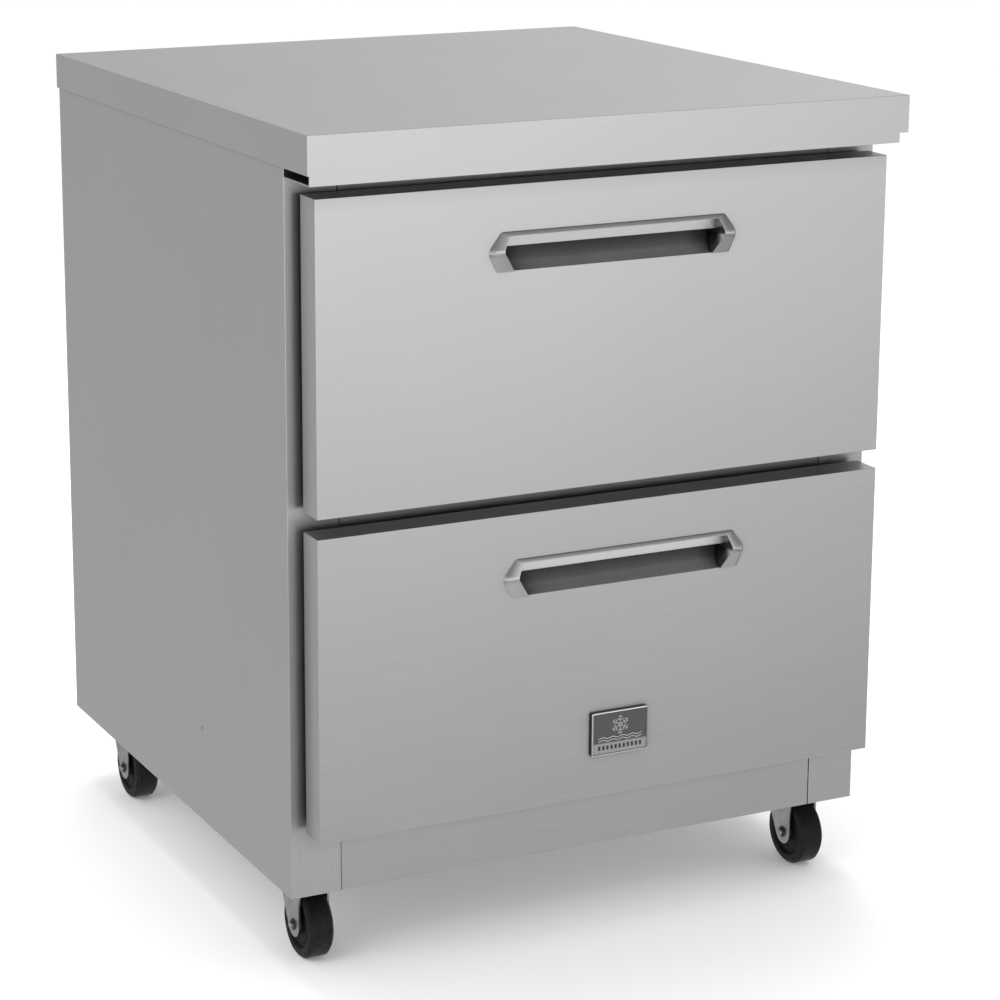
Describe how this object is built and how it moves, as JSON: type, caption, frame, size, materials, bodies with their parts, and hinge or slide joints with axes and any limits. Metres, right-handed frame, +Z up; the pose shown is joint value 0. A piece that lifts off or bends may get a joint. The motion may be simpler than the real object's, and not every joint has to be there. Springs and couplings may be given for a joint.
{
  "type": "under counter fridge",
  "caption": "Undercounter refrigerator with stainless worktop, full-width drawers with recessed handles, rear condensing unit and swivel casters.",
  "frame": {"origin": "centre of the worktop's footprint, on the floor", "axes": "+Z up, drawers open towards -Y, +X to the right of a person facing the drawers"},
  "size_m": [0.6984, 0.7494, 0.902],
  "materials": {
    "stainless": "satin",
    "galvanized": "satin",
    "aluminium": "satin",
    "zinc": "satin",
    "handle_metal": "satin",
    "badge_chrome": "polished",
    "wheel_black": "satin",
    "compressor_paint": "gloss",
    "motor_paint": "satin",
    "copper": "satin",
    "grey_plastic": "matte",
    "white_plastic": "satin",
    "black_plastic": "matte",
    "gasket_vinyl": "matte",
    "foam": "matte"
  },
  "bodies": {
    "cabinet": {"worktop": "stainless", "worktop_stiffeners": "galvanized", "side_panel_left": "stainless", "side_panel_right": "stainless", "back_panel": "galvanized", "bottom_pan": "galvanized", "top_pan": "galvanized", "top_rail": "stainless", "mid_rail": "stainless", "kick_panel": "stainless", "breaker_strips": "grey_plastic", "liner_sides": "aluminium", "liner_floor": "aluminium", "liner_ceiling": "aluminium", "liner_back": "aluminium", "insulation": "foam", "slide_pilasters": "aluminium", "upper_cabinet_slides": "zinc", "lower_cabinet_slides": "zinc", "evaporator_cover": "white_plastic", "evaporator_coil": "aluminium", "evaporator_motor": "motor_paint", "thermostat": "black_plastic", "compressor": "compressor_paint", "condenser_coil": "aluminium", "condenser_shroud": "galvanized", "condenser_motor": "motor_paint", "unit_base": "galvanized", "filter_drier": "copper", "refrigerant_lines": "copper", "rear_grille": "galvanized", "cord_gland": "black_plastic", "screws": "zinc", "caster_plates": "zinc"},
    "evaporator_fan": {"evaporator_fan": "grey_plastic"},
    "condenser_fan": {"condenser_fan": "grey_plastic"},
    "thermostat_knob": {"thermostat_knob": "grey_plastic"},
    "upper_middle_slides": {"upper_middle_slides": "zinc"},
    "lower_middle_slides": {"lower_middle_slides": "zinc"},
    "upper_drawer": {"upper_drawer_skin": "stainless", "upper_drawer_core": "foam", "upper_drawer_back": "white_plastic", "upper_drawer_gasket": "gasket_vinyl", "upper_drawer_handle": "handle_metal", "upper_drawer_frame": "stainless"},
    "lower_drawer": {"lower_drawer_skin": "stainless", "lower_drawer_core": "foam", "lower_drawer_back": "white_plastic", "lower_drawer_gasket": "gasket_vinyl", "lower_drawer_handle": "handle_metal", "lower_drawer_frame": "stainless", "badge": "badge_chrome"},
    "caster_fork_fl": {"caster_fork_fl": "zinc"},
    "caster_wheel_fl": {"caster_wheel_fl": "wheel_black"},
    "caster_fork_fr": {"caster_fork_fr": "zinc"},
    "caster_wheel_fr": {"caster_wheel_fr": "wheel_black"},
    "caster_fork_bl": {"caster_fork_bl": "zinc"},
    "caster_wheel_bl": {"caster_wheel_bl": "wheel_black"},
    "caster_fork_br": {"caster_fork_br": "zinc"},
    "caster_wheel_br": {"caster_wheel_br": "wheel_black"}
  },
  "joints": [
    {"name": "upper_drawer_slide", "type": "slide", "parent": "cabinet", "child": "upper_drawer", "axis": [0, -1, 0], "range_m": [0, 0.4]},
    {"name": "upper_middle_slide", "type": "slide", "parent": "cabinet", "child": "upper_middle_slides", "axis": [0, -1, 0], "range_m": [0, 0.2]},
    {"name": "lower_drawer_slide", "type": "slide", "parent": "cabinet", "child": "lower_drawer", "axis": [0, -1, 0], "range_m": [0, 0.4]},
    {"name": "lower_middle_slide", "type": "slide", "parent": "cabinet", "child": "lower_middle_slides", "axis": [0, -1, 0], "range_m": [0, 0.2]},
    {"name": "caster_swivel_fl", "type": "hinge", "parent": "cabinet", "child": "caster_fork_fl", "pos_m": [-0.307, -0.23415, 0.089], "axis": [0, 0, 1], "continuous": true},
    {"name": "caster_roll_fl", "type": "hinge", "parent": "caster_fork_fl", "child": "caster_wheel_fl", "pos_m": [-0.307, -0.26215, 0.038], "axis": [1, 0, 0], "continuous": true},
    {"name": "caster_swivel_fr", "type": "hinge", "parent": "cabinet", "child": "caster_fork_fr", "pos_m": [0.307, -0.23415, 0.089], "axis": [0, 0, 1], "continuous": true},
    {"name": "caster_roll_fr", "type": "hinge", "parent": "caster_fork_fr", "child": "caster_wheel_fr", "pos_m": [0.307, -0.26215, 0.038], "axis": [1, 0, 0], "continuous": true},
    {"name": "caster_swivel_bl", "type": "hinge", "parent": "cabinet", "child": "caster_fork_bl", "pos_m": [-0.307, 0.29365, 0.089], "axis": [0, 0, 1], "continuous": true},
    {"name": "caster_roll_bl", "type": "hinge", "parent": "caster_fork_bl", "child": "caster_wheel_bl", "pos_m": [-0.307, 0.26565, 0.038], "axis": [1, 0, 0], "continuous": true},
    {"name": "caster_swivel_br", "type": "hinge", "parent": "cabinet", "child": "caster_fork_br", "pos_m": [0.307, 0.29365, 0.089], "axis": [0, 0, 1], "continuous": true},
    {"name": "caster_roll_br", "type": "hinge", "parent": "caster_fork_br", "child": "caster_wheel_br", "pos_m": [0.307, 0.26565, 0.038], "axis": [1, 0, 0], "continuous": true},
    {"name": "evaporator_fan_spin", "type": "hinge", "parent": "cabinet", "child": "evaporator_fan", "pos_m": [-0.095, 0.17765, 0.7], "axis": [0, 1, 0], "continuous": true},
    {"name": "condenser_fan_spin", "type": "hinge", "parent": "cabinet", "child": "condenser_fan", "pos_m": [-0.157, 0.29065, 0.1965], "axis": [0, 1, 0], "continuous": true},
    {"name": "thermostat_turn", "type": "hinge", "parent": "cabinet", "child": "thermostat_knob", "pos_m": [0.165, 0.14365, 0.752], "axis": [0, 1, 0], "range_deg": [-135, 135]}
  ],
  "couplings": [
    {"joint": "upper_middle_slide", "follows": "upper_drawer_slide", "ratio": 0.5},
    {"joint": "lower_middle_slide", "follows": "lower_drawer_slide", "ratio": 0.5}
  ]
}
